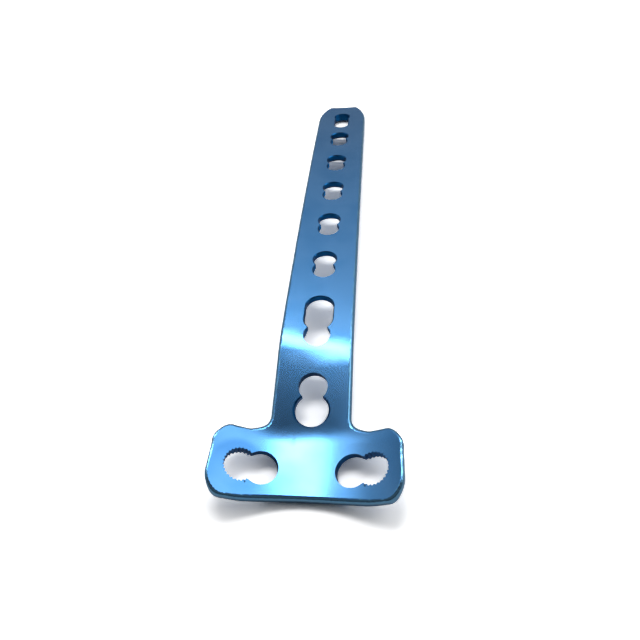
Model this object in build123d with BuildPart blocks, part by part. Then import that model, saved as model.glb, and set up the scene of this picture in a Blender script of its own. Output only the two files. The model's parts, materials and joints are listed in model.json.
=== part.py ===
from build123d import *
import os
from math import asin, atan2, cos, radians, sin, sqrt, tan

os.makedirs("parts", exist_ok=True)

# A one-piece plate that is screwed to the upper end of a shin bone.
# It lies on its outer face, with the hollow face that meets the bone upwards.
# +Y runs from the wide head to the far tip, and X = 0 is its plane of symmetry.
# Distances along the plate follow its upper face, from the front edge of the head.

# Whole plate
plate_length = 148.0
plate_thickness = 2.4
upper_rim_radius = 0.8
lower_rim_radius = 0.9

# Side profile: flat head, neck that climbs, and a shaft that bows down to its tip
head_bend_from_front = 9.8
head_bend_radius = 24.0
neck_length = 23.9
neck_rise = 5.8
shaft_bend_radius = 32.0
shaft_bow = 1.2

# Hollow across the plate, deep in the head and shallow in the shaft
head_hollow_radius = 31.0
shaft_hollow_radius = 110.0

# Outline seen from above
shaft_width = 16.0
head_width = 35.5
head_depth = 12.15
front_bow = 2.2
back_edge_slope = 20.0
front_corner_radius = 4.4
back_corner_radius = 3.6
neck_corner_radius = 3.5
tip_width = 9.8
tip_length = 6.0
tip_side_radius = 20.0
tip_corner_radius = 1.3

# Screw holes. Each has a tapered lobe that locks a screw and a smooth lobe that lets it slide
locking_taper = 4.0
recess_depth = 1.0
rim_break = 0.2

head_hole_from_front = 5.7
head_smooth_offset = 8.5
head_smooth_diameter = 6.55
head_locking_diameter = 6.05
head_lobe_step = 3.95

neck_hole_from_front = 18.1
neck_smooth_diameter = 6.85
neck_locking_diameter = 6.0
neck_lobe_step = 4.95

slot_hole_from_front = 35.1
slot_locking_diameter = 5.9
slot_width = 6.3
slot_travel = 3.7
slot_lobe_step = 4.5

shaft_hole_from_front = 55.6
shaft_hole_pitch = 16.0
shaft_hole_diameter = 5.6
shaft_lobe_step = 3.75
least_web = 2.5

end_hole_from_tip = 15.2
end_slot_width = 4.6
end_slot_travel = 3.5
end_locking_diameter = 5.4
end_lobe_step = 2.8

# How far a blank or a cutter reaches past the faces that it is trimmed by
overhang = 3.0
section_spacing = 2.0

# How much of a run between two bends, or between two corners, their arcs may take up
bow_fill = 0.8
corner_fill = 0.95


# Centre line of the upper face, in the plane of symmetry. The shaft's bow is one long arc that
# touches the two legs of a flat triangle, which stands twice as high as the bow
bend_y = head_bend_from_front + sqrt(neck_length**2 - neck_rise**2)
shaft_run = plate_length - head_bend_from_front - neck_length
tip_y = bend_y + sqrt(shaft_run**2 - neck_rise**2)
middle_y = (bend_y + tip_y) / 2
middle_z = plate_thickness + neck_rise / 2 + 2 * shaft_bow
tip_drop = atan2(middle_z - plate_thickness, tip_y - middle_y)
tip_z = plate_thickness * cos(tip_drop)
shaft_turn = 4 * shaft_bow / (tip_y - middle_y)
shaft_bow_radius = bow_fill * (tip_y - middle_y) / tan(shaft_turn / 2)

with BuildLine(Plane.YZ) as centre_line:
    FilletPolyline(
        (-overhang, plate_thickness),
        (head_bend_from_front, plate_thickness),
        (bend_y, plate_thickness + neck_rise),
        (middle_y, middle_z),
        (tip_y + overhang, tip_z - overhang * tan(tip_drop)),
        radius=[head_bend_radius, shaft_bend_radius, shaft_bow_radius],
    )
path = centre_line.wire()


def hole_plane(distance):
    """Plane on the upper face at a distance from the front edge, with Z up and Y to the tip."""
    point = path.position_at(distance + overhang, position_mode=PositionMode.LENGTH)
    along = path.tangent_at(distance + overhang, position_mode=PositionMode.LENGTH)
    return Plane(origin=point, x_dir=(1, 0, 0), z_dir=Vector(1, 0, 0).cross(along))


def hollow_radius(distance):
    """Radius of the hollow across the plate, eased along the neck from the head's to the shaft's."""
    share = min(max((distance - head_bend_from_front) / neck_length, 0.0), 1.0)
    eased = share * share * (3 - 2 * share)
    curvature = (1 - eased) / head_hollow_radius + eased / shaft_hollow_radius
    return 1 / curvature


# Curved blank of even thickness, lofted through arc-shaped sections along the centre line
blank_half_width = head_width / 2 + overhang
station_count = round(path.length / section_spacing)
sections = []
for index in range(station_count + 1):
    distance = path.length * index / station_count - overhang
    face = hole_plane(distance)
    inner = hollow_radius(distance)
    outer = inner + plate_thickness
    lean = asin(blank_half_width / inner)
    edge_up = inner * (1 - cos(lean))
    low_edge_x = outer * blank_half_width / inner
    low_edge_up = inner - outer * cos(lean)
    section_plane = Plane(origin=face.origin, x_dir=face.x_dir, z_dir=-face.y_dir)
    with BuildSketch(section_plane) as section:
        with BuildLine():
            ThreePointArc((-blank_half_width, edge_up), (0, 0), (blank_half_width, edge_up))
            Line((blank_half_width, edge_up), (low_edge_x, low_edge_up))
            ThreePointArc((low_edge_x, low_edge_up), (0, -plate_thickness), (-low_edge_x, low_edge_up))
            Line((-low_edge_x, low_edge_up), (-blank_half_width, edge_up))
        make_face()
    sections.append(section.sketch)


# Outline of the plate at one height. The head's ends lean out at right angles to its curved face
wing_lean = asin(head_width / 2 / head_hollow_radius)
wing_height = plate_thickness + head_hollow_radius * (1 - cos(wing_lean))
outline_top = max(wing_height, plate_thickness + neck_rise) + shaft_bow

# The corners at the two ends of a back edge shrink together where they would meet
narrow_half = head_width / 2 + (wing_height - outline_top) * tan(wing_lean)
back_edge = (narrow_half - shaft_width / 2) / cos(radians(back_edge_slope))
corner_reach = (back_corner_radius + neck_corner_radius) * tan(radians(90 + back_edge_slope) / 2)
back_share = min(1.0, corner_fill * back_edge / corner_reach)


def draw_outline(height):
    """Face of the plate's outline on a level plane, wider below where the head's ends lean out."""
    head_half = head_width / 2 + (wing_height - height) * tan(wing_lean)
    shaft_half = shaft_width / 2
    back_y = head_depth + (head_half - shaft_half) * tan(radians(back_edge_slope))
    taper_y = tip_y - tip_length
    with BuildSketch(Plane.XY.offset(height)) as outline:
        with BuildLine():
            ThreePointArc((-head_half, -front_bow), (0, 0), (head_half, -front_bow))
            for side in (-1, 1):
                Polyline(
                    (side * head_half, -front_bow),
                    (side * head_half, back_y),
                    (side * shaft_half, head_depth),
                    (side * shaft_half, taper_y),
                    (side * tip_width / 2, tip_y),
                )
            Line((-tip_width / 2, tip_y), (tip_width / 2, tip_y))
        make_face()
        for reach, near_y, radius in (
            (head_half, -front_bow, front_corner_radius),
            (head_half, back_y, back_corner_radius * back_share),
            (shaft_half, head_depth, neck_corner_radius * back_share),
            (shaft_half, taper_y, tip_side_radius),
            (tip_width / 2, tip_y, tip_corner_radius),
        ):
            for side in (-1, 1):
                corner = (side * reach, near_y, height)
                fillet(outline.vertices().sort_by_distance(corner)[0], radius)
    return outline.sketch


def lobe_profile(seat, radius, flare):
    """Half section of a smooth lobe, with a broken upper rim and a screw recess in the lower face."""
    recess_top = recess_depth - plate_thickness
    floor = -(plate_thickness + overhang)
    with BuildSketch(seat) as profile:
        Polygon(
            (0, overhang),
            (radius + flare * (overhang + rim_break), overhang),
            (radius, -flare * rim_break),
            (radius, recess_top),
            (radius + recess_top - floor, floor),
            (0, floor),
            align=None,
        )
    return profile.sketch


def locking_profile(seat, radius):
    """Half section of a locking lobe, which widens downwards."""
    growth = tan(radians(locking_taper))
    floor = -(plate_thickness + overhang)
    with BuildSketch(seat) as profile:
        Polygon(
            (0, overhang),
            (radius - growth * overhang, overhang),
            (radius - growth * floor, floor),
            (0, floor),
            align=None,
        )
    return profile.sketch


def cut_screw_hole(hole, locking_at, smooth_at, locking_diameter, smooth_diameter, travel=0.0, flare=0):
    """Cut a screw hole's locking lobe and its smooth lobe, which is a slot along Y where it has travel."""
    locking_seat = Plane(hole.from_local_coords(locking_at), x_dir=hole.x_dir, z_dir=-hole.y_dir)
    smooth_seat = Plane(hole.from_local_coords(smooth_at), x_dir=hole.x_dir, z_dir=-hole.y_dir)
    locking = locking_profile(locking_seat, locking_diameter / 2)
    smooth = lobe_profile(smooth_seat, smooth_diameter / 2, flare)
    cutters = [
        revolve(locking, axis=Axis(locking_seat.origin, hole.z_dir), mode=Mode.PRIVATE),
        revolve(smooth, axis=Axis(smooth_seat.origin, hole.z_dir), mode=Mode.PRIVATE),
    ]
    if travel > 0:
        far_end = Location(travel * hole.y_dir)
        both_sides = smooth + smooth.mirror(Plane(smooth_seat.origin, z_dir=hole.x_dir))
        cutters.append(far_end * cutters[-1])
        cutters.append(extrude(both_sides, amount=travel, dir=hole.y_dir, mode=Mode.PRIVATE))
    add(cutters, mode=Mode.SUBTRACT)


neck_hole_middle = neck_hole_from_front + neck_lobe_step / 2
slot_hole_middle = slot_hole_from_front + (slot_lobe_step + slot_travel) / 2
end_hole_start = plate_length - end_hole_from_tip
end_hole_middle = end_hole_start + (end_slot_travel + end_lobe_step) / 2
shaft_hole_reach = shaft_lobe_step + shaft_hole_diameter / 2
last_shaft_hole = end_hole_start - end_slot_width / 2 - least_web - shaft_hole_reach
shaft_hole_count = 1 + int((last_shaft_hole - shaft_hole_from_front) / shaft_hole_pitch)
head_hole_lean = asin(head_smooth_offset / head_hollow_radius)
head_hole_height = plate_thickness + head_hollow_radius * (1 - cos(head_hole_lean))

with BuildPart() as plate:
    loft(sections)
    loft([draw_outline(-overhang), draw_outline(outline_top)], ruled=True, mode=Mode.INTERSECT)
    upper_face = plate.faces().sort_by(SortBy.AREA)[-2:].sort_by(Axis.Z)[-1]
    fillet(upper_face.edges(), upper_rim_radius)
    lower_face = plate.faces().sort_by(SortBy.AREA)[-2:].sort_by(Axis.Z)[0]
    fillet(lower_face.edges(), lower_rim_radius)

    for side in (1, -1):
        cut_screw_hole(
            Plane(
                origin=(side * head_smooth_offset, head_hole_from_front, head_hole_height),
                x_dir=(side * cos(head_hole_lean), 0, sin(head_hole_lean)),
                z_dir=(-side * sin(head_hole_lean), 0, cos(head_hole_lean)),
            ),
            locking_at=(head_lobe_step, 0, 0),
            smooth_at=(0, 0, 0),
            locking_diameter=head_locking_diameter,
            smooth_diameter=head_smooth_diameter,
        )
    cut_screw_hole(
        hole_plane(neck_hole_middle),
        locking_at=(0, neck_lobe_step / 2, 0),
        smooth_at=(0, -neck_lobe_step / 2, 0),
        locking_diameter=neck_locking_diameter,
        smooth_diameter=neck_smooth_diameter,
        flare=1,
    )
    cut_screw_hole(
        hole_plane(slot_hole_middle),
        locking_at=(0, slot_hole_from_front - slot_hole_middle, 0),
        smooth_at=(0, slot_hole_from_front + slot_lobe_step - slot_hole_middle, 0),
        locking_diameter=slot_locking_diameter,
        smooth_diameter=slot_width,
        travel=slot_travel,
        flare=1,
    )
    for index in range(shaft_hole_count):
        cut_screw_hole(
            hole_plane(shaft_hole_from_front + shaft_lobe_step / 2 + index * shaft_hole_pitch),
            locking_at=(0, -shaft_lobe_step / 2, 0),
            smooth_at=(0, shaft_lobe_step / 2, 0),
            locking_diameter=shaft_hole_diameter,
            smooth_diameter=shaft_hole_diameter,
            flare=1,
        )
    cut_screw_hole(
        hole_plane(end_hole_middle),
        locking_at=(0, end_hole_start + end_slot_travel + end_lobe_step - end_hole_middle, 0),
        smooth_at=(0, end_hole_start - end_hole_middle, 0),
        locking_diameter=end_locking_diameter,
        smooth_diameter=end_slot_width,
        travel=end_slot_travel,
        flare=1,
    )

# The origin is the middle of the plate's bounding box, on the table that it lies on
box = plate.part.bounding_box()
resting_plate = Pos(0, -box.center().Y, -box.min.Z) * plate.part
resting_plate.label = "plate"
export_step(resting_plate, "parts/plate.step")
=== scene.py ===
import json
from math import atan2, cos, radians, sin, sqrt, tan

import bmesh
import bpy
import numpy as np
from bpy.props import FloatProperty, FloatVectorProperty, IntProperty, PointerProperty
from bpy.types import Operator, Panel, PropertyGroup
from mathutils import Matrix, Vector


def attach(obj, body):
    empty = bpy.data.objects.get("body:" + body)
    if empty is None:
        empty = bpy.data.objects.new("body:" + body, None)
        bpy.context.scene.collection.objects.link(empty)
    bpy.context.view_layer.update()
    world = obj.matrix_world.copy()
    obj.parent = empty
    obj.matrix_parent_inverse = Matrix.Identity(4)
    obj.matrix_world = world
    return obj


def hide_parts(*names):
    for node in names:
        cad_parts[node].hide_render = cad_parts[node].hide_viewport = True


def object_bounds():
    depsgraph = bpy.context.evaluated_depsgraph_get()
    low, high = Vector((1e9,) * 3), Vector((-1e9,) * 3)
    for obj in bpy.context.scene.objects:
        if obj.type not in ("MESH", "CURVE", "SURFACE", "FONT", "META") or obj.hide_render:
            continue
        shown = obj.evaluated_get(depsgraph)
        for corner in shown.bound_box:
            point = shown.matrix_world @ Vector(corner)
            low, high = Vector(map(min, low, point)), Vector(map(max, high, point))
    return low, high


bl_info = {
    "name": "Tibia Plate",
    "version": (1, 0, 0),
    "blender": (4, 5, 0),
    "location": "View3D > Sidebar > Tibia Plate",
    "description": "Dresses a proximal tibia locking plate in anodised titanium and lights it",
    "category": "Object",
}

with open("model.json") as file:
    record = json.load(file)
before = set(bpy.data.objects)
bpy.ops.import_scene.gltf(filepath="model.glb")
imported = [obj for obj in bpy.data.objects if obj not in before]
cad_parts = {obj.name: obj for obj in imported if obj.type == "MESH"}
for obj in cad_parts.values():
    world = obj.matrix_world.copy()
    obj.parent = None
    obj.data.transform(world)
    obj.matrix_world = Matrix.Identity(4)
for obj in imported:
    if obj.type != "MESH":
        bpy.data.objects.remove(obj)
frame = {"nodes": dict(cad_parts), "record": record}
frame_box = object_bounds()

MM = 0.001

# The centre line is worked out at points this far apart, to a little past both ends of the plate
LINE_STEP = 0.02 * MM
LINE_OVERRUN = 2 * MM

# Rounds in which a point's distance along the line is found, and a floor under a hollow's square root
LINE_ROUNDS = 4
LEAST_ROOT = 0.03 * MM

# Spans over which the head's trim fades in: along the plate from its front edge, or out to each side
TRIM_END_SIDE = (15.3 * MM, 18.9 * MM)
TRIM_END_ALONG = (17 * MM, 15 * MM)
TRIM_FRONT_CORNER = (5 * MM, 0)
TRIM_FRONT_CORNER_SHARE = 0.6
TRIM_BACK_CORNER = (9 * MM, 14 * MM)
TRIM_BACK_CORNER_SHARE = 1.4
TRIM_PAST_HOLES = (14.5 * MM, 18 * MM)
TRIM_BACK_START = 9 * MM
TRIM_BACK_START_PAST_HOLES = 5 * MM
TRIM_BACK_END = 13.4 * MM
TRIM_BACK_SIDE = (7.9 * MM, 11.5 * MM)
TRIM_BACK_ALONG = (21 * MM, 17 * MM)
TRIM_VALLEY_SIDE = 10.5 * MM
TRIM_PEAK_SIDE = 17 * MM
TRIM_PEAK_SHARES = (-0.3, 1.4)
TRIM_FRONT_REACH = 2.3 * MM
TRIM_FRONT_REACH_PAST_HOLES = 7 * MM
TRIM_CORNER_SIDE = (11 * MM, 18.5 * MM)
TRIM_MIDDLE_SIDE = (14 * MM, 0)
TRIM_REACH_PAST_BEND = 16 * MM

# The wall of a locking lobe in the head, as in the solid
HEAD_LOBES = ("head_hole_left_lock", "head_hole_right_lock")
LOBE_REACH = 4.4 * MM
LOBE_HALF_LENGTH = 3.2 * MM
LOBE_WALL_BAND = 0.3 * MM
LOBE_RECESS_HEIGHT = 0.3 * MM
LOBE_RECESS_STEP = 0.12 * MM
LOBE_TAPER = 0.04
TOOTH_EDGE = 0.16 * MM
SPLIT_ROUNDS = 4

# Points this close together are one: in the solid's mesh, and once the grooves are cut
SAME_POINT = 0.0001 * MM
SAME_CUT_POINT = 0.0005 * MM

# Edges near the head's rim are split until they are this short
HEAD_EDGE = 1.1 * MM
HEAD_BACK = 22 * MM
HEAD_SIDE = 5 * MM

# Spans along the plate over which the shine of the shaft's bend is skewed
SKEW_START = (20 * MM, 28 * MM)
SKEW_END = (60 * MM, 44 * MM)

# How near a triangle is to a broad face, and how well it faces the same way, to be shaded as part of it
NEAR_FACE = 0.05 * MM
FACING = cos(radians(9))
VERY_NEAR_FACE = NEAR_FACE / 4
LOOSELY_FACING = cos(radians(35))
SHARPEST_EDGE = cos(radians(31))
LEAST_LENGTH = 1e-18

# A triangle this far off both faces belongs to a hole's wall inside these spans, and to the rim elsewhere
OFF_FACE = 0.1 * MM
HEAD_HOLES_ALONG = (2 * MM, 9.4 * MM)
HEAD_HOLES_SIDE = (3 * MM, 16 * MM)
SHAFT_HOLES_ALONG = (14.4 * MM, 143 * MM)
SHAFT_HOLES_SIDE = 4.4 * MM

# Noise levels between which the clouds and the grain go from one end to the other
CLOUD_NOISE = (0.3, 0.6)
GRAIN_NOISE = (0.3, 0.7)

# Painted shade: a darker ring in the metal's reflection at the left head lobe, from faint on the side of the
# front edge to full on the neck's side
SHADE_RING_LOBE = "head_hole_left_lock"
SHADE_RING_SPAN = (-1 * MM, 2.5 * MM)
SHADE_RING_LEVELS = (0.15, 1)

# How pale the floor is to the metal that mirrors it, to the light that it scatters, and to the camera
FLOOR_LEVELS = (0.5, 0.85, 1.6)

# The room that the metal mirrors, by heading: its Y is up to 1 behind the plate, and its Z up to 1 overhead
ROOM_BEHIND = (-0.3, 0.15)
ROOM_HEIGHT = (0.15, 0.72)
ROOM_HEIGHT_LEVELS = (0.62, 1.5)
ROOM_TOP = (0.85, 0.94)
ROOM_TOP_LEVELS = (1, 0.05)

# The room's light on the floor, which comes from low beside and behind the plate
LOW_BEHIND = (-0.35, 0.2)
LOW_IN_FRONT = 0.03
LOW_HEIGHT = (0.55, 0.8)
LOW_HEIGHT_LEVELS = (1, 0.1)


# Sizes and colours that a user would change

class PlateForm(PropertyGroup):
    """Form of the plate's broad faces, as in the solid, which their shading follows."""

    plate_length: FloatProperty(
        name="Plate length", default=148 * MM, unit="LENGTH",
        description="From the front edge to the tip, along the upper face",
    )
    thickness: FloatProperty(
        name="Thickness", default=2.4 * MM, unit="LENGTH",
        description="Between the two broad faces",
    )
    head_bend_from_front: FloatProperty(
        name="Head bend from front", default=9.8 * MM, unit="LENGTH",
        description="From the front edge to the bend between the head and the neck",
    )
    head_bend_radius: FloatProperty(
        name="Head bend radius", default=24 * MM, unit="LENGTH",
        description="Radius of the bend between the head and the neck",
    )
    neck_length: FloatProperty(
        name="Neck length", default=23.9 * MM, unit="LENGTH",
        description="From the head's bend to the shaft's bend",
    )
    neck_rise: FloatProperty(
        name="Neck rise", default=5.8 * MM, unit="LENGTH",
        description="How much higher the neck ends than it starts",
    )
    shaft_bend_radius: FloatProperty(
        name="Shaft bend radius", default=32 * MM, unit="LENGTH",
        description="Radius of the bend between the neck and the shaft",
    )
    shaft_bow: FloatProperty(
        name="Shaft bow", default=1.2 * MM, unit="LENGTH",
        description="How far the shaft bows up between its ends",
    )
    bow_fill: FloatProperty(
        name="Bow fill", default=0.8, subtype="FACTOR",
        description="Share of the shaft over which its bow is spread",
    )
    head_hollow_radius: FloatProperty(
        name="Head hollow radius", default=31 * MM, unit="LENGTH",
        description="Radius of the head's hollow face across the plate",
    )
    shaft_hollow_radius: FloatProperty(
        name="Shaft hollow radius", default=110 * MM, unit="LENGTH",
        description="Radius of the shaft's hollow face across the plate",
    )
    shine_bend_from_front: FloatProperty(
        name="Shine bend from front", default=12.7 * MM, unit="LENGTH",
        description="Where the shine on the head bends, from the front edge",
    )
    shine_bend_radius: FloatProperty(
        name="Shine bend radius", default=14 * MM, unit="LENGTH",
        description="How sharply the shine bends between the head and the neck",
    )
    shine_shaft_bend: FloatProperty(
        name="Shine shaft bend forward", default=1.2 * MM, unit="LENGTH",
        description="How far in front of the shaft's bend its shine bends",
    )
    shine_shaft_radius: FloatProperty(
        name="Shine shaft bend radius", default=20 * MM, unit="LENGTH",
        description="How sharply the shine bends between the neck and the shaft",
    )
    shine_skew: FloatProperty(
        name="Shine skew across the shaft", default=0.18,
        description="How far along the shaft the shine at its bend shifts, for each unit to the right",
    )


class HeadTrim(PropertyGroup):
    """How far the head's rim is drawn in along the plate's own faces, to the photographed outline."""

    upper_end: FloatProperty(
        name="Wing ends, upper rim", default=0.06 * MM, unit="LENGTH",
        description="How far the upper rim of each wing's end is drawn in",
    )
    lower_end: FloatProperty(
        name="Wing ends, lower rim", default=1.0 * MM, unit="LENGTH",
        description="How far the lower rim of each wing's end is drawn in",
    )
    valley: FloatProperty(
        name="Back edge beside the neck", default=-0.14 * MM, unit="LENGTH",
        description="How far the head's back edge is drawn forward beside the neck",
    )
    peak: FloatProperty(
        name="Back edge at the wing ends", default=2.23 * MM, unit="LENGTH",
        description="How far the head's back edge is drawn forward at the wings' ends",
    )
    corner: FloatProperty(
        name="Front corners", default=0.76 * MM, unit="LENGTH",
        description="How far the front edge is drawn back at its corners",
    )
    corner_spread: FloatProperty(
        name="Wing ends near the corners", default=0.15 * MM, unit="LENGTH",
        description="How much less the wings' ends are drawn in near their corners",
    )
    front: FloatProperty(
        name="Front edge", default=0.39 * MM, unit="LENGTH",
        description="How far the front edge is drawn back at its middle",
    )


class ThreadSizes(PropertyGroup):
    """Sizes of the locking lobes, of the groove in most of them and of the teeth in the head's two."""

    pitch: FloatProperty(
        name="Pitch", default=0.4 * MM, unit="LENGTH",
        description="Height of one turn of the groove",
    )
    depth: FloatProperty(
        name="Depth", default=0.16 * MM, unit="LENGTH",
        description="Depth of the groove",
    )
    taper: FloatProperty(
        name="Taper", default=radians(4), subtype="ANGLE",
        description="How far the groove leans in towards the upper face",
    )
    reach: FloatProperty(
        name="Reach along the hole", default=5.6 * MM, unit="LENGTH",
        description="Length of the grooved stretch along the hole",
    )
    steps: IntProperty(
        name="Steps in a turn", default=30,
        description="Number of straight pieces in one turn of the groove",
    )
    tooth_count: IntProperty(
        name="Teeth round a head lobe", default=28,
        description="Number of teeth in a full circle of a head lobe's wall",
    )
    tooth_depth: FloatProperty(
        name="Tooth depth", default=0.26 * MM, unit="LENGTH",
        description="Depth of the gaps between the teeth",
    )
    head_diameter: FloatProperty(
        name="Head hole diameter", default=6.05 * MM, unit="LENGTH",
        description="Diameter of the locking lobes in the head",
    )
    neck_diameter: FloatProperty(
        name="Neck hole diameter", default=6.0 * MM, unit="LENGTH",
        description="Diameter of the locking lobe in the neck",
    )
    slot_diameter: FloatProperty(
        name="Slotted hole diameter", default=5.9 * MM, unit="LENGTH",
        description="Diameter of the slotted hole's locking lobe",
    )
    shaft_diameter: FloatProperty(
        name="Shaft hole diameter", default=5.6 * MM, unit="LENGTH",
        description="Diameter of the locking lobes in the shaft",
    )
    end_diameter: FloatProperty(
        name="End hole diameter", default=5.4 * MM, unit="LENGTH",
        description="Diameter of the end hole's locking lobe",
    )


class MetalFinish(PropertyGroup):
    """Colours and grain of the anodised titanium, with painted shade on the holes' walls and in a ring at one
    hole.
    """

    blue: FloatVectorProperty(
        name="Blue", subtype="COLOR", default=(0.10, 0.29, 0.60), min=0, max=1,
        description="Lighter blue of the broad faces",
    )
    deep_blue: FloatVectorProperty(
        name="Deep blue", subtype="COLOR", default=(0.07, 0.25, 0.55), min=0, max=1,
        description="Darker blue of the broad faces",
    )
    # Painted shade: darker blue for the ring of shade in the reflection round the left head hole's locking
    # lobe
    ring_shade_blue: FloatVectorProperty(
        name="Ring tint", subtype="COLOR", default=(0.05, 0.19, 0.46), min=0, max=1,
        description="Stain round the left head hole's locking lobe",
    )
    # Painted shade: darker blue on the holes' walls, for the shade that falls inside the holes
    wall_shade_blue: FloatVectorProperty(
        name="Hole wall blue", subtype="COLOR", default=(0.008, 0.12, 0.34), min=0, max=1,
        description="Blue of the holes' walls",
    )
    rim_blue: FloatVectorProperty(
        name="Rim blue", subtype="COLOR", default=(0.14, 0.34, 0.55), min=0, max=1,
        description="Blue of the rounded rims and the edges",
    )
    roughness: FloatProperty(
        name="Roughness", default=0.25, subtype="FACTOR",
        description="Middle roughness of the metal",
    )
    roughness_spread: FloatProperty(
        name="Roughness spread", default=0.012, subtype="FACTOR",
        description="How far the grain takes the roughness up and down",
    )
    grain_size: FloatProperty(
        name="Grain size", default=0.08 * MM, unit="LENGTH",
        description="Size of the metal's fine grain",
    )
    grain_height: FloatProperty(
        name="Grain height", default=0.02 * MM, unit="LENGTH",
        description="Height of the grain's bumps at full strength",
    )
    grain_strength: FloatProperty(
        name="Grain strength", default=0.01, subtype="FACTOR",
        description="Share of the grain's height that shows",
    )
    cloud_size: FloatProperty(
        name="Cloud size", default=9 * MM, unit="LENGTH",
        description="Size of the faint clouds in the blue",
    )
    # The ring settings below shape the painted shade round the left head hole's locking lobe
    ring_inside: FloatProperty(
        name="Ring inside", default=3.9 * MM, unit="LENGTH",
        description="Distance from the lobe's middle at which the stain starts to fade",
    )
    ring_outside: FloatProperty(
        name="Ring outside", default=5.4 * MM, unit="LENGTH",
        description="Distance from the lobe's middle at which the stain ends",
    )
    ring_share: FloatProperty(
        name="Ring share", default=0.8, subtype="FACTOR",
        description="How much of the blue the stain covers",
    )


class StudioSetup(PropertyGroup):
    """Camera, lamps and floor."""

    camera_place: FloatVectorProperty(
        name="Camera place", default=(13.93 * MM, -109.5 * MM, 93.37 * MM), subtype="TRANSLATION",
        description="Where the camera stands",
    )
    camera_azimuth: FloatProperty(
        name="Camera azimuth", default=radians(10.21), subtype="ANGLE",
        description="How far the camera is turned to the left of straight ahead",
    )
    camera_tilt: FloatProperty(
        name="Camera tilt", default=radians(48.2), subtype="ANGLE",
        description="How far the camera looks down",
    )
    camera_roll: FloatProperty(
        name="Camera roll", default=radians(-7.63), subtype="ANGLE",
        description="How far the camera is turned about its own line of sight",
    )
    lens_share: FloatProperty(
        name="Lens share", default=520 / 640, subtype="FACTOR",
        description="Focal length as a share of the picture's width",
    )
    key_power: FloatProperty(
        name="Key lamp power", default=1.5, unit="POWER",
        description="Power of the lamp whose mirror image lies on the head and the shaft's bend",
    )
    key_width: FloatProperty(
        name="Key lamp width", default=0.30, unit="LENGTH",
        description="Width of the key lamp",
    )
    key_height: FloatProperty(
        name="Key lamp height", default=0.17, unit="LENGTH",
        description="Height of the key lamp",
    )
    key_roll: FloatProperty(
        name="Key lamp roll", default=radians(12), subtype="ANGLE",
        description="Turn of the key lamp about the line to the head",
    )
    key_distance: FloatProperty(
        name="Key lamp distance", default=0.6, unit="LENGTH",
        description="Distance of the key lamp from the head",
    )
    key_azimuth: FloatProperty(
        name="Key lamp azimuth", default=radians(-6), subtype="ANGLE",
        description="Direction of the key lamp, to the right of straight behind the plate",
    )
    key_elevation: FloatProperty(
        name="Key lamp elevation", default=radians(61), subtype="ANGLE",
        description="Height of the key lamp over the table, as an angle",
    )
    right_power: FloatProperty(
        name="Right lamp power", default=1.4, unit="POWER",
        description="Power of the lamp on the right",
    )
    right_size: FloatProperty(
        name="Right lamp size", default=0.55, unit="LENGTH",
        description="Width and height of the lamp on the right",
    )
    right_azimuth: FloatProperty(
        name="Right lamp azimuth", default=radians(58), subtype="ANGLE",
        description="Direction of the lamp on the right",
    )
    right_elevation: FloatProperty(
        name="Right lamp elevation", default=radians(50), subtype="ANGLE",
        description="Height of the lamp on the right, as an angle",
    )
    left_power: FloatProperty(
        name="Left lamp power", default=0.35, unit="POWER",
        description="Power of the lamp on the left",
    )
    left_size: FloatProperty(
        name="Left lamp size", default=0.3, unit="LENGTH",
        description="Width and height of the lamp on the left",
    )
    left_azimuth: FloatProperty(
        name="Left lamp azimuth", default=radians(-42), subtype="ANGLE",
        description="Direction of the lamp on the left",
    )
    left_elevation: FloatProperty(
        name="Left lamp elevation", default=radians(56), subtype="ANGLE",
        description="Height of the lamp on the left, as an angle",
    )
    side_distance: FloatProperty(
        name="Side lamp distance", default=0.8, unit="LENGTH",
        description="Distance of the lamps on the right and the left from the head",
    )
    room_behind: FloatProperty(
        name="Room behind", default=0.41,
        description="Brightness of the room behind the plate, as the metal mirrors it",
    )
    room_in_front: FloatProperty(
        name="Room in front", default=0.12,
        description="Brightness of the room in front of the plate, as the metal mirrors it",
    )
    low_light: FloatProperty(
        name="Low light", default=1.6,
        description="Brightness of the light that reaches the floor from low behind the plate",
    )
    floor_size: FloatProperty(
        name="Floor size", default=3.0, unit="LENGTH",
        description="Length of each side of the square floor",
    )


# Broad faces: where a point lies on them, and which way they face there

def ramp(values, start, end):
    """Smooth step from 0 at start to 1 at end."""
    share = np.clip((values - start) / (end - start), 0, 1)
    return share * share * (3 - 2 * share)


def between(values, span):
    """Whether each value lies inside a span."""
    return (values > span[0]) & (values < span[1])


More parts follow.
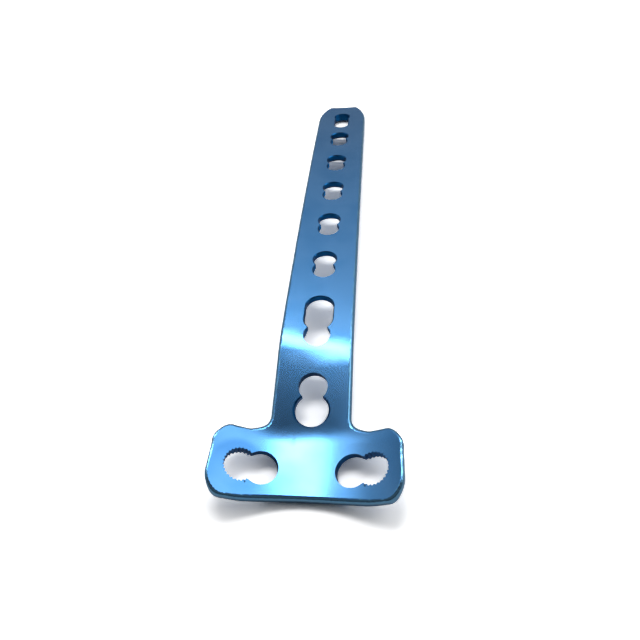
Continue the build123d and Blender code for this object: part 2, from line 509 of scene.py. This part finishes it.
def centre_line(form, shine=False):
    """Distances along the upper face's middle from the front edge, with its Y, Z and slope at each."""
    bend_y = form.head_bend_from_front + sqrt(form.neck_length**2 - form.neck_rise**2)
    shaft_run = form.plate_length - form.head_bend_from_front - form.neck_length
    tip_y = bend_y + sqrt(shaft_run**2 - form.neck_rise**2)
    middle_y = (bend_y + tip_y) / 2
    middle_rise = form.neck_rise / 2 + 2 * form.shaft_bow
    tip_drop = atan2(middle_rise, tip_y - middle_y)
    shaft_turn = 4 * form.shaft_bow / (tip_y - middle_y)
    bow_radius = form.bow_fill * (tip_y - middle_y) / tan(shaft_turn / 2)
    corners = np.array([
        (0, 0),
        (form.head_bend_from_front, 0),
        (bend_y, form.neck_rise),
        (middle_y, middle_rise),
        (tip_y, form.thickness * (cos(tip_drop) - 1)),
    ])
    legs = np.diff(corners, axis=0)
    leg_lengths = np.hypot(legs[:, 0], legs[:, 1])
    turns = np.diff(np.arctan2(legs[:, 1], legs[:, 0]))
    radii = np.array([form.head_bend_radius, form.shaft_bend_radius, bow_radius])
    if shine:
        head_shift = form.shine_bend_from_front - form.head_bend_from_front
        neck_change = -head_shift - form.shine_shaft_bend
        leg_lengths[:3] += np.array([head_shift, neck_change, form.shine_shaft_bend])
        radii[:2] = (form.shine_bend_radius, form.shine_shaft_radius)
    reaches = radii * np.tan(np.abs(turns) / 2)

    distance = np.arange(-LINE_OVERRUN, form.plate_length + LINE_OVERRUN, LINE_STEP)
    slope = np.zeros_like(distance)
    arc_start = 0.0
    last_reach = 0.0
    for leg_length, reach, radius, turn in zip(leg_lengths, reaches, radii, turns):
        arc_start += leg_length - last_reach - reach
        arc_length = radius * abs(turn)
        slope += turn * np.clip((distance - arc_start) / arc_length, 0, 1)
        arc_start += arc_length
        last_reach = reach
    step = distance[1] - distance[0]
    y = np.cumsum(np.cos(slope)) * step
    z = np.cumsum(np.sin(slope)) * step
    front = np.searchsorted(distance, 0)
    front_y = frame_box[1][1] - tip_y
    y += front_y - y[front]
    z += form.thickness - z[front]
    return distance, y, z, slope


def off_line(points, along, line):
    """How far each point lies along and over the line, seen from a distance along it."""
    distance, line_y, line_z, slope = line
    turn = np.interp(along, distance, slope)
    off_y = points[:, 1] - np.interp(along, distance, line_y)
    off_z = points[:, 2] - np.interp(along, distance, line_z)
    return off_y * np.cos(turn) + off_z * np.sin(turn), off_z * np.cos(turn) - off_y * np.sin(turn)


def place_on_line(points, line):
    """Distance of each point along the plate, and its height over the centre line there."""
    distance, line_y, _, _ = line
    along = np.interp(points[:, 1], line_y, distance)
    for _ in range(LINE_ROUNDS):
        along = along + off_line(points, along, line)[0]
    return along, off_line(points, along, line)[1]


def face_heights(across, along, form):
    """Height over the centre line, and sideways slope, of the upper and then the lower face."""
    flattened = ramp(along, form.head_bend_from_front, form.head_bend_from_front + form.neck_length)
    inner = 1 / ((1 - flattened) / form.head_hollow_radius + flattened / form.shaft_hollow_radius)
    faces = []
    for radius in (inner, inner + form.thickness):
        root = np.sqrt(np.maximum(radius * radius - across * across, LEAST_ROOT**2))
        faces.append((inner - root, across / root))
    return faces


def broad_faces(points, form):
    """Height of each point over the upper and the lower face, the face's normal and its shine's."""
    line = centre_line(form)
    shine = centre_line(form, True)
    along, height = place_on_line(points, line)
    skew = form.shine_skew * points[:, 0] * ramp(along, *SKEW_START) * ramp(along, *SKEW_END)
    results = []
    for (face_height, across), sign in zip(face_heights(points[:, 0], along, form), (1.0, -1.0)):
        pair = []
        for (distance, _, _, slope), place in ((line, along), (shine, along + skew)):
            slant = np.interp(place, distance, slope)
            normal = np.stack([-across, -np.sin(slant), np.cos(slant)], axis=1)
            pair.append(sign * normal / np.linalg.norm(normal, axis=1)[:, None])
        results.append((height - face_height, *pair))
    return results


# Forming the head

def trim_head(mesh, form, trim):
    """Draw in the rim of the head, sliding its points along the two broad faces past the holes."""
    points = np.array([v.co for v in mesh.vertices])
    line = centre_line(form)
    along, height = place_on_line(points, line)
    side = np.abs(points[:, 0])
    (upper, _), (lower, _) = face_heights(points[:, 0], along, form)
    share = (height - lower) / (upper - lower)
    past_holes = ramp(side, *TRIM_PAST_HOLES)

    near_corner = ramp(along, *TRIM_FRONT_CORNER) * TRIM_FRONT_CORNER_SHARE
    near_corner += ramp(along, *TRIM_BACK_CORNER) * TRIM_BACK_CORNER_SHARE
    end_draw = trim.lower_end + (trim.upper_end - trim.lower_end) * np.clip(share, 0, 1)
    end_draw -= trim.corner_spread * near_corner
    new_side = side - end_draw * ramp(side, *TRIM_END_SIDE) * ramp(along, *TRIM_END_ALONG)

    back_start = TRIM_BACK_START + (TRIM_BACK_START_PAST_HOLES - TRIM_BACK_START) * past_holes
    at_back = ramp(along, back_start, TRIM_BACK_END)
    at_back *= ramp(side, *TRIM_BACK_SIDE) * ramp(along, *TRIM_BACK_ALONG)
    outward = (side - TRIM_VALLEY_SIDE) / (TRIM_PEAK_SIDE - TRIM_VALLEY_SIDE)
    back_draw = trim.valley + (trim.peak - trim.valley) * np.clip(outward, *TRIM_PEAK_SHARES)

    front_reach = TRIM_FRONT_REACH + (TRIM_FRONT_REACH_PAST_HOLES - TRIM_FRONT_REACH) * past_holes
    at_front = ramp(along, front_reach, 0)
    front_draw = trim.corner * ramp(side, *TRIM_CORNER_SIDE) + trim.front * ramp(side, *TRIM_MIDDLE_SIDE)
    new_along = along - at_back * back_draw + at_front * front_draw

    across = np.sign(points[:, 0]) * new_side
    (upper, _), (lower, _) = face_heights(across, new_along, form)
    new_height = lower + share * (upper - lower)
    distance, line_y, line_z, slope = line
    turn = np.interp(new_along, distance, slope)
    moved = np.stack([
        across,
        np.interp(new_along, distance, line_y) - new_height * np.sin(turn),
        np.interp(new_along, distance, line_z) + new_height * np.cos(turn),
    ], axis=1)
    head = along < form.head_bend_from_front + TRIM_REACH_PAST_BEND
    points[head] = moved[head]
    mesh.vertices.foreach_set("co", points.ravel())


def split_long_edges(skin, longest, chosen):
    """Split in two each edge that is longer than the longest and has both ends chosen."""
    edges = [e for e in skin.edges if e.calc_length() > longest and all(map(chosen, e.verts))]
    bmesh.ops.subdivide_edges(skin, edges=edges, cuts=1, use_grid_fill=True)
    bmesh.ops.triangulate(skin, faces=skin.faces)


def off_lobe_wall(point, centre, axis, radius):
    """Height of a point along a head lobe, how far it lies outside the wall, and its offset from the axis."""
    offset = point - centre
    height = offset.dot(axis)
    flat = offset - axis * height
    recess = LOBE_RECESS_STEP if height < LOBE_RECESS_HEIGHT else 0
    return height, flat.length - (radius + recess - LOBE_TAPER * height), flat


def lobe_wall(skin, centre, axis, radius):
    """Vertices on a head lobe's wall, each with its offset from the axis."""
    found = {}
    for vertex in skin.verts:
        if (vertex.co - centre).length < LOBE_REACH:
            height, outside, flat = off_lobe_wall(vertex.co, centre, axis, radius)
            if abs(height) < LOBE_HALF_LENGTH and abs(outside) < LOBE_WALL_BAND:
                found[vertex] = flat
    return found


def wave_lobes(skin, sizes):
    """Split the walls of the head's locking lobes finely, and wave them into small upright teeth."""
    for mount in frame["record"]["mounts"]:
        if mount["name"] not in HEAD_LOBES:
            continue
        centre = Vector(mount["pos_m"])
        axis = Vector(mount["axis"]).normalized()
        first = axis.cross(Vector((0, 1, 0))).normalized()
        second = axis.cross(first)
        radius = sizes.head_diameter / 2
        for _ in range(SPLIT_ROUNDS):
            wall = lobe_wall(skin, centre, axis, radius)
            split_long_edges(skin, TOOTH_EDGE, lambda vertex: vertex in wall)
        for vertex, flat in lobe_wall(skin, centre, axis, radius).items():
            angle = atan2(flat.dot(second), flat.dot(first))
            share = 0.5 + 0.5 * cos(sizes.tooth_count * angle)
            vertex.co += flat.normalized() * sizes.tooth_depth * share


# Shading

def corner_angles(sides):
    """Angle at each corner of each triangle."""
    angles = []
    for corner in range(3):
        one = sides[:, (corner + 1) % 3] - sides[:, corner]
        two = sides[:, (corner + 2) % 3] - sides[:, corner]
        size = np.linalg.norm(np.cross(one, two), axis=1)
        angles.append(np.arctan2(size, (one * two).sum(axis=1)))
    return np.stack(angles, axis=1)


def face_kinds(corners, flat, faces):
    """For each triangle, 0 on the upper face, 1 on the lower face, and -1 on a rim or a wall."""
    kind = np.full(len(corners), -1)
    for index, (offset, normal, _) in enumerate(faces):
        farthest = np.abs(offset)[corners].max(axis=1)
        facing = (flat * normal[corners].mean(axis=1)).sum(axis=1)
        kind[(farthest < NEAR_FACE) & (facing > FACING)] = index
        kind[(farthest < VERY_NEAR_FACE) & (np.abs(facing) > LOOSELY_FACING)] = index
    return kind


def mark_walls_and_rims(mesh, sides, bare, form):
    """Face attributes that tell the material which bare triangles are a hole's wall, painted darker for the
    shade inside the holes, and which a rim.
    """
    centre = sides.mean(axis=1)
    along = place_on_line(centre, centre_line(form))[0]
    side = np.abs(centre[:, 0])
    in_head = between(along, HEAD_HOLES_ALONG) & between(side, HEAD_HOLES_SIDE)
    in_shaft = between(along, SHAFT_HOLES_ALONG) & (side < SHAFT_HOLES_SIDE)
    in_hole = in_head | in_shaft
    for name, chosen in (("wall", bare & in_hole), ("rim", bare & ~in_hole)):
        marks = mesh.attributes.new(name, "FLOAT", "FACE")
        marks.data.foreach_set("value", chosen.astype(np.float32))


def shade_plate(mesh, form):
    """Exact normals on the broad faces, and smooth ones over each rounded edge and hole wall."""
    points = np.array([v.co for v in mesh.vertices])
    corners = np.array([p.vertices for p in mesh.polygons])
    sides = points[corners]
    cross = np.cross(sides[:, 1] - sides[:, 0], sides[:, 2] - sides[:, 0])
    flat = cross / np.maximum(np.linalg.norm(cross, axis=1), LEAST_LENGTH)[:, None]
    faces = broad_faces(points, form)
    kind = face_kinds(corners, flat, faces)
    weights = corner_angles(sides)

    around = [[] for _ in points]
    for face, trio in enumerate(corners):
        for corner, vertex in enumerate(trio):
            around[vertex].append((face, weights[face, corner]))

    normals = np.zeros((len(corners), 3, 3))
    for face, trio in enumerate(corners):
        own = flat[face]
        for corner, vertex in enumerate(trio):
            total = np.zeros(3)
            shared = kind[face]
            for other, weight in around[vertex]:
                if own @ flat[other] > SHARPEST_EDGE:
                    total += weight * flat[other]
                    shared = max(shared, kind[other])
            if shared >= 0:
                total = faces[shared][2][vertex]
            normals[face, corner] = total / np.linalg.norm(total)

    off_face = np.min([np.abs(offset[corners]).max(axis=1) for offset, _, _ in faces], axis=0)
    mark_walls_and_rims(mesh, sides, (kind < 0) & (off_face > OFF_FACE), form)
    mesh.polygons.foreach_set("use_smooth", [True] * len(corners))
    mesh.normals_split_custom_set(normals.reshape(-1, 3).tolist())


# Node trees

def add_node(tree, kind, inputs=None, **settings):
    """Add a node, set its own settings, and set or link its inputs by name or number."""
    node = tree.nodes.new(kind)
    for name, value in settings.items():
        setattr(node, name, value)
    for key, value in (inputs or {}).items():
        socket = node.inputs[key]
        if isinstance(value, bpy.types.NodeSocket):
            tree.links.new(value, socket)
        else:
            socket.default_value = value
    return node


def map_range(tree, value, span, levels, smooth=True):
    """Output that goes from one level to the other as the value crosses the span."""
    return add_node(tree, "ShaderNodeMapRange", {
        "Value": value,
        "From Min": span[0],
        "From Max": span[1],
        "To Min": levels[0],
        "To Max": levels[1],
    }, interpolation_type="SMOOTHSTEP" if smooth else "LINEAR").outputs[0]


def maths(tree, operation, first, second):
    """Output of a sum on two numbers."""
    return add_node(tree, "ShaderNodeMath", {0: first, 1: second}, operation=operation).outputs[0]


def vector_maths(tree, operation, output, *vectors):
    """Named output of a sum on vectors."""
    inputs = dict(enumerate(vectors))
    return add_node(tree, "ShaderNodeVectorMath", inputs, operation=operation).outputs[output]


def thread_tree(material):
    """Geometry nodes that cut a fine helical groove at each point of an object of lobes."""
    tree = bpy.data.node_groups.new("Locking thread", "GeometryNodeTree")
    tree.interface.new_socket("Plate", in_out="INPUT", socket_type="NodeSocketGeometry")
    for name, kind in (
        ("Lobes", "NodeSocketObject"),
        ("Pitch", "NodeSocketFloat"),
        ("Depth", "NodeSocketFloat"),
        ("Reach", "NodeSocketFloat"),
        ("Steps", "NodeSocketInt"),
        ("Upper radius", "NodeSocketFloat"),
        ("Lower radius", "NodeSocketFloat"),
    ):
        tree.interface.new_socket(name, in_out="INPUT", socket_type=kind)
    tree.interface.new_socket("Plate", in_out="OUTPUT", socket_type="NodeSocketGeometry")
    given = tree.nodes.new("NodeGroupInput").outputs
    helix = add_node(tree, "GeometryNodeCurveSpiral", {
        "Resolution": given["Steps"],
        "Rotations": maths(tree, "DIVIDE", given["Reach"], given["Pitch"]),
        "Start Radius": given["Lower radius"],
        "End Radius": given["Upper radius"],
        "Height": given["Reach"],
    })
    upright = add_node(tree, "GeometryNodeSetCurveNormal", {"Curve": helix.outputs[0]}, mode="Z_UP")
    groove = add_node(tree, "GeometryNodeCurvePrimitiveCircle", {
        "Resolution": 4,
        "Radius": given["Depth"],
    })
    cutter = add_node(tree, "GeometryNodeCurveToMesh", {
        "Curve": upright.outputs[0],
        "Profile Curve": groove.outputs[0],
        "Fill Caps": True,
    })
    down = add_node(tree, "ShaderNodeCombineXYZ", {"Z": maths(tree, "MULTIPLY", given["Reach"], -0.5)})
    centred = add_node(tree, "GeometryNodeTransform", {
        0: cutter.outputs[0],
        "Translation": down.outputs[0],
    })
    lobes = add_node(tree, "GeometryNodeObjectInfo", {"Object": given["Lobes"]})
    direction, size = (
        add_node(tree, "GeometryNodeInputNamedAttribute", {"Name": name}, data_type="FLOAT_VECTOR").outputs[0]
        for name in ("direction", "size")
    )
    turned = add_node(tree, "FunctionNodeAlignRotationToVector", {"Vector": direction}, axis="Z")
    cutters = add_node(tree, "GeometryNodeInstanceOnPoints", {
        "Points": lobes.outputs["Geometry"],
        "Instance": centred.outputs[0],
        "Rotation": turned.outputs[0],
        "Scale": size,
    })
    cut = add_node(tree, "GeometryNodeMeshBoolean", {
        "Mesh 1": given["Plate"],
        "Mesh 2": cutters.outputs[0],
    })
    cut.operation = "DIFFERENCE"
    cut.solver = "EXACT"
    split = add_node(tree, "GeometryNodeTriangulate", {0: cut.outputs[0]})
    whole = add_node(tree, "GeometryNodeRealizeInstances", {0: split.outputs[0]})
    dressed = add_node(tree, "GeometryNodeSetMaterial", {"Geometry": whole.outputs[0], "Material": material})
    result = tree.nodes.new("NodeGroupOutput")
    tree.links.new(dressed.outputs[0], result.inputs[0])
    return tree


def set_inputs(modifier, values):
    """Set a geometry nodes modifier's inputs by the identifiers of its named sockets."""
    for item in modifier.node_group.interface.items_tree:
        if item.in_out == "INPUT" and item.name in values:
            modifier[item.identifier] = values[item.name]


def blend(tree, share, first, second):
    """Colour between two, each a socket or a plain colour."""
    colours = {
        key: colour if isinstance(colour, bpy.types.NodeSocket) else (*colour, 1)
        for key, colour in ((6, first), (7, second))
    }
    return add_node(tree, "ShaderNodeMix", {0: share, **colours}, data_type="RGBA").outputs[2]


def painted_ring_shade(tree, place, finish):
    """Share of the painted shade ring round the left head hole's locking lobe, strongest on the side of the
    neck.
    """
    mounts = frame["record"]["mounts"]
    lobe = next(mount["pos_m"] for mount in mounts if mount["name"] == SHADE_RING_LOBE)
    offset = vector_maths(tree, "SUBTRACT", "Vector", place, (lobe[0], lobe[1], 0))
    flat = vector_maths(tree, "MULTIPLY", "Vector", offset, (1, 1, 0))
    reach = vector_maths(tree, "LENGTH", "Value", flat)
    ring = map_range(tree, reach, (finish.ring_inside, finish.ring_outside), (finish.ring_share, 0))
    offset_y = add_node(tree, "ShaderNodeSeparateXYZ", {0: offset}).outputs[1]
    back_side = map_range(tree, offset_y, SHADE_RING_SPAN, SHADE_RING_LEVELS, smooth=False)
    return maths(tree, "MULTIPLY", ring, back_side)


def anodised_titanium(finish):
    """Satin blue anodised titanium, with a fine grain, faint clouds, a painted shade ring at one hole and
    painted shade on the holes' walls.
    """
    material = bpy.data.materials.new("anodised_titanium")
    material.use_nodes = True
    tree = material.node_tree
    shader = tree.nodes["Principled BSDF"]
    place = tree.nodes.new("ShaderNodeTexCoord").outputs["Object"]
    clouds, grain = (
        add_node(tree, "ShaderNodeTexNoise", {
            "Vector": place,
            "Scale": 1 / size,
            "Detail": detail,
        }).outputs[0]
        for size, detail in ((finish.cloud_size, 3.0), (finish.grain_size, 2.0))
    )
    cloud_share = map_range(tree, clouds, CLOUD_NOISE, (0, 1), smooth=False)
    colour = blend(tree, cloud_share, finish.deep_blue, finish.blue)
    wall = add_node(tree, "ShaderNodeAttribute", attribute_name="wall").outputs["Fac"]
    rim = add_node(tree, "ShaderNodeAttribute", attribute_name="rim").outputs["Fac"]
    for share, shade in (
        # Painted shade: a darker ring round the left head lobe
        (painted_ring_shade(tree, place, finish), finish.ring_shade_blue),
        # Painted shade: darker blue on the holes' walls, where shade falls inside the holes
        (wall, finish.wall_shade_blue),
        (rim, finish.rim_blue),
    ):
        colour = blend(tree, share, colour, shade)
    tree.links.new(colour, shader.inputs["Base Color"])
    levels = (finish.roughness - finish.roughness_spread, finish.roughness + finish.roughness_spread)
    roughness = map_range(tree, grain, GRAIN_NOISE, levels, smooth=False)
    tree.links.new(roughness, shader.inputs["Roughness"])
    bump = add_node(tree, "ShaderNodeBump", {
        "Height": grain,
        "Strength": finish.grain_strength,
        "Distance": finish.grain_height,
    })
    tree.links.new(bump.outputs[0], shader.inputs["Normal"])
    shader.inputs["Metallic"].default_value = 1.0
    return material


# The plate

def lobe_points(sizes):
    """Object with a point at each locking lobe past the head, with its direction and its relative size."""
    diameters = {
        "neck_hole": sizes.neck_diameter,
        "neck_slot": sizes.slot_diameter,
        "shaft_hole": sizes.shaft_diameter,
        "end_hole": sizes.end_diameter,
    }
    lobes = [
        mount for mount in frame["record"]["mounts"]
        if mount["name"].endswith("_lock") and mount["name"] not in HEAD_LOBES
    ]
    mesh = bpy.data.meshes.new("locking_lobes")
    mesh.from_pydata([mount["pos_m"] for mount in lobes], [], [])
    direction = mesh.attributes.new("direction", "FLOAT_VECTOR", "POINT")
    size = mesh.attributes.new("size", "FLOAT_VECTOR", "POINT")
    for index, mount in enumerate(lobes):
        name = next(key for key in diameters if mount["name"].startswith(key))
        scale = diameters[name] / sizes.shaft_diameter
        direction.data[index].vector = mount["axis"]
        size.data[index].vector = (scale, scale, 1)
    points = bpy.data.objects.new("locking_lobes", mesh)
    bpy.context.scene.collection.objects.link(points)
    return points


def toothed_copy(node, form, trim, sizes):
    """New object with the node's mesh as one closed skin, its head trimmed and its head lobes toothed."""
    mesh = bpy.data.meshes.new("plate_body")
    skin = bmesh.new()
    skin.from_mesh(frame["nodes"][node].data)
    bmesh.ops.remove_doubles(skin, verts=skin.verts, dist=SAME_POINT)
    head_back = frame_box[0][1] + HEAD_BACK
    for _ in range(SPLIT_ROUNDS):
        split_long_edges(skin, HEAD_EDGE, lambda v: v.co.y < head_back and abs(v.co.x) > HEAD_SIDE)
    skin.to_mesh(mesh)
    skin.free()
    trim_head(mesh, form, trim)
    skin = bmesh.new()
    skin.from_mesh(mesh)
    wave_lobes(skin, sizes)
    skin.to_mesh(mesh)
    skin.free()
    body = bpy.data.objects.new("plate_body", mesh)
    bpy.context.scene.collection.objects.link(body)
    return body


def merge_and_split(mesh):
    """Merge the points that lie in one place, and split every face into triangles."""
    skin = bmesh.new()
    skin.from_mesh(mesh)
    bmesh.ops.remove_doubles(skin, verts=skin.verts, dist=SAME_CUT_POINT)
    bmesh.ops.triangulate(skin, faces=skin.faces)
    skin.to_mesh(mesh)
    skin.free()


class PlateBody(Operator):
    """Make the plate in anodised titanium, with teeth or a fine groove in each locking lobe"""

    bl_idname = "tibia_plate.body"
    bl_label = "Make plate body"

    def execute(self, context):
        form = context.scene.tibia_plate_form
        sizes = context.scene.tibia_plate_thread
        body = toothed_copy("plate", form, context.scene.tibia_plate_trim, sizes)
        points = lobe_points(sizes)
        cutting = body.modifiers.new("Threads", "NODES")
        cutting.node_group = thread_tree(anodised_titanium(context.scene.tibia_plate_finish))
        lobe_radius = sizes.shaft_diameter / 2
        spread = tan(sizes.taper) * sizes.reach / 2
        set_inputs(cutting, {
            "Lobes": points,
            "Pitch": sizes.pitch,
            "Depth": sizes.depth,
            "Reach": sizes.reach,
            "Steps": sizes.steps,
            "Upper radius": lobe_radius - spread,
            "Lower radius": lobe_radius + spread,
        })
        evaluated = body.evaluated_get(context.evaluated_depsgraph_get())
        mesh = bpy.data.meshes.new_from_object(evaluated)
        body.modifiers.remove(cutting)
        body.data = mesh
        bpy.data.objects.remove(points)
        if not mesh.polygons:
            raise RuntimeError("the threads left no plate")
        merge_and_split(mesh)
        shade_plate(mesh, form)
        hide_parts("plate")
        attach(body, "root")
        return {"FINISHED"}


# The stage

def add_camera(studio):
    """Camera at the photograph's viewing angle."""
    data = bpy.data.cameras.new("camera")
    data.lens = data.sensor_width * studio.lens_share
    data.clip_start = 5 * MM
    camera = bpy.data.objects.new("camera", data)
    bpy.context.scene.collection.objects.link(camera)
    forward = Vector((
        -sin(studio.camera_azimuth) * cos(studio.camera_tilt),
        cos(studio.camera_azimuth) * cos(studio.camera_tilt),
        -sin(studio.camera_tilt),
    ))
    level = forward.cross(Vector((0, 0, 1))).normalized()
    above = level.cross(forward)
    right = level * cos(studio.camera_roll) + above * sin(studio.camera_roll)
    up = above * cos(studio.camera_roll) - level * sin(studio.camera_roll)
    turned = Matrix((right, up, -forward)).transposed().to_4x4()
    camera.matrix_world = Matrix.Translation(studio.camera_place) @ turned
    bpy.context.scene.camera = camera


def add_lamp(name, target, azimuth, elevation, distance, size, power, roll=0):
    """Flat lamp that faces a target, turned by roll about the line to it."""
    data = bpy.data.lights.new(name, "AREA")
    data.shape = "RECTANGLE"
    data.size, data.size_y = size
    data.energy = power
    heading = Vector((sin(azimuth) * cos(elevation), cos(azimuth) * cos(elevation), sin(elevation)))
    lamp = bpy.data.objects.new(name, data)
    lamp.location = target + distance * heading
    facing = (-heading).to_track_quat("-Z", "Y").to_matrix()
    lamp.rotation_euler = (facing @ Matrix.Rotation(roll, 3, "Z")).to_euler()
    bpy.context.scene.collection.objects.link(lamp)


def mix_by_ray(tree, kind, matching, others):
    """One shader for rays of a kind, and another for all others."""
    path = tree.nodes.new("ShaderNodeLightPath").outputs
    return add_node(tree, "ShaderNodeMixShader", {0: path[kind], 1: others, 2: matching}).outputs[0]


def white_floor():
    """Pale floor that the camera sees as white where no shadow falls."""
    material = bpy.data.materials.new("white_floor")
    material.use_nodes = True
    tree = material.node_tree
    tree.nodes.clear()
    mirrored, pale, seen = (
        add_node(tree, "ShaderNodeBsdfDiffuse", {"Color": (level, level, level, 1)}).outputs[0]
        for level in FLOOR_LEVELS
    )
    matt = mix_by_ray(tree, "Is Glossy Ray", mirrored, pale)
    surface = mix_by_ray(tree, "Is Camera Ray", seen, matt)
    add_node(tree, "ShaderNodeOutputMaterial", {"Surface": surface})
    return material


def studio_world(studio):
    """Room that the metal mirrors, other light for the floor, and white where the camera looks."""
    world = bpy.data.worlds.new("pale_room")
    world.use_nodes = True
    tree = world.node_tree
    tree.nodes.clear()
    heading = tree.nodes.new("ShaderNodeTexCoord").outputs["Generated"]
    _, behind, up = add_node(tree, "ShaderNodeSeparateXYZ", {0: heading}).outputs
    room = maths(
        tree, "MULTIPLY",
        map_range(tree, behind, ROOM_BEHIND, (studio.room_in_front, studio.room_behind)),
        map_range(tree, up, ROOM_HEIGHT, ROOM_HEIGHT_LEVELS),
    )
    room = maths(tree, "MULTIPLY", room, map_range(tree, up, ROOM_TOP, ROOM_TOP_LEVELS))
    low = maths(
        tree, "MULTIPLY",
        map_range(tree, behind, LOW_BEHIND, (LOW_IN_FRONT, studio.low_light)),
        map_range(tree, up, LOW_HEIGHT, LOW_HEIGHT_LEVELS),
    )
    mirrored, spill, white = (
        add_node(tree, "ShaderNodeBackground", {"Color": (1, 1, 1, 1), "Strength": level}).outputs[0]
        for level in (room, low, 1.0)
    )
    lit = mix_by_ray(tree, "Is Glossy Ray", mirrored, spill)
    surface = mix_by_ray(tree, "Is Camera Ray", white, lit)
    add_node(tree, "ShaderNodeOutputWorld", {"Surface": surface})
    return world


class Stage(Operator):
    """Make the floor, the lamps and the camera"""

    bl_idname = "tibia_plate.stage"
    bl_label = "Make stage"

    def execute(self, context):
        studio = context.scene.tibia_plate_studio
        half = studio.floor_size / 2
        corners = [(-half, -half, 0), (half, -half, 0), (half, half, 0), (-half, half, 0)]
        mesh = bpy.data.meshes.new("floor")
        mesh.from_pydata(corners, [], [(0, 1, 2, 3)])
        floor = bpy.data.objects.new("floor", mesh)
        context.scene.collection.objects.link(floor)
        mesh.materials.append(white_floor())
        head = Vector((0, frame_box[0][1], 0))
        add_lamp(
            "key_lamp", head, studio.key_azimuth, studio.key_elevation, studio.key_distance,
            (studio.key_width, studio.key_height), studio.key_power, studio.key_roll,
        )
        add_lamp(
            "right_lamp", head, studio.right_azimuth, studio.right_elevation, studio.side_distance,
            (studio.right_size, studio.right_size), studio.right_power,
        )
        add_lamp(
            "left_lamp", head, studio.left_azimuth, studio.left_elevation, studio.side_distance,
            (studio.left_size, studio.left_size), studio.left_power,
        )
        context.scene.world = studio_world(studio)
        context.scene.view_settings.view_transform = "Standard"
        add_camera(studio)
        return {"FINISHED"}


class PlatePanel(Panel):
    """Lists the pieces and the stage"""

    bl_idname = "VIEW3D_PT_tibia_plate"
    bl_label = "Tibia Plate"
    bl_space_type = "VIEW_3D"
    bl_region_type = "UI"
    bl_category = "Tibia Plate"

    def draw(self, context):
        for operator in (Stage, PlateBody):
            self.layout.operator(operator.bl_idname)
        for group in GROUPS:
            settings = getattr(context.scene, group)
            box = self.layout.box()
            for name in settings.bl_rna.properties.keys():
                if name not in ("rna_type", "name"):
                    box.prop(settings, name)


GROUPS = {
    "tibia_plate_form": PlateForm,
    "tibia_plate_trim": HeadTrim,
    "tibia_plate_thread": ThreadSizes,
    "tibia_plate_finish": MetalFinish,
    "tibia_plate_studio": StudioSetup,
}
CLASSES = (*GROUPS.values(), PlateBody, Stage, PlatePanel)


def register():
    """Add the settings, the operators and the panel."""
    for item in CLASSES:
        bpy.utils.register_class(item)
    for name, group in GROUPS.items():
        setattr(bpy.types.Scene, name, PointerProperty(type=group))


def unregister():
    """Take the settings, the operators and the panel away."""
    for name in GROUPS:
        delattr(bpy.types.Scene, name)
    for item in reversed(CLASSES):
        bpy.utils.unregister_class(item)


def main():
    """Make the stage and the plate."""
    register()
    bpy.ops.tibia_plate.stage()
    bpy.ops.tibia_plate.body()


if __name__ == "__main__":
    main()
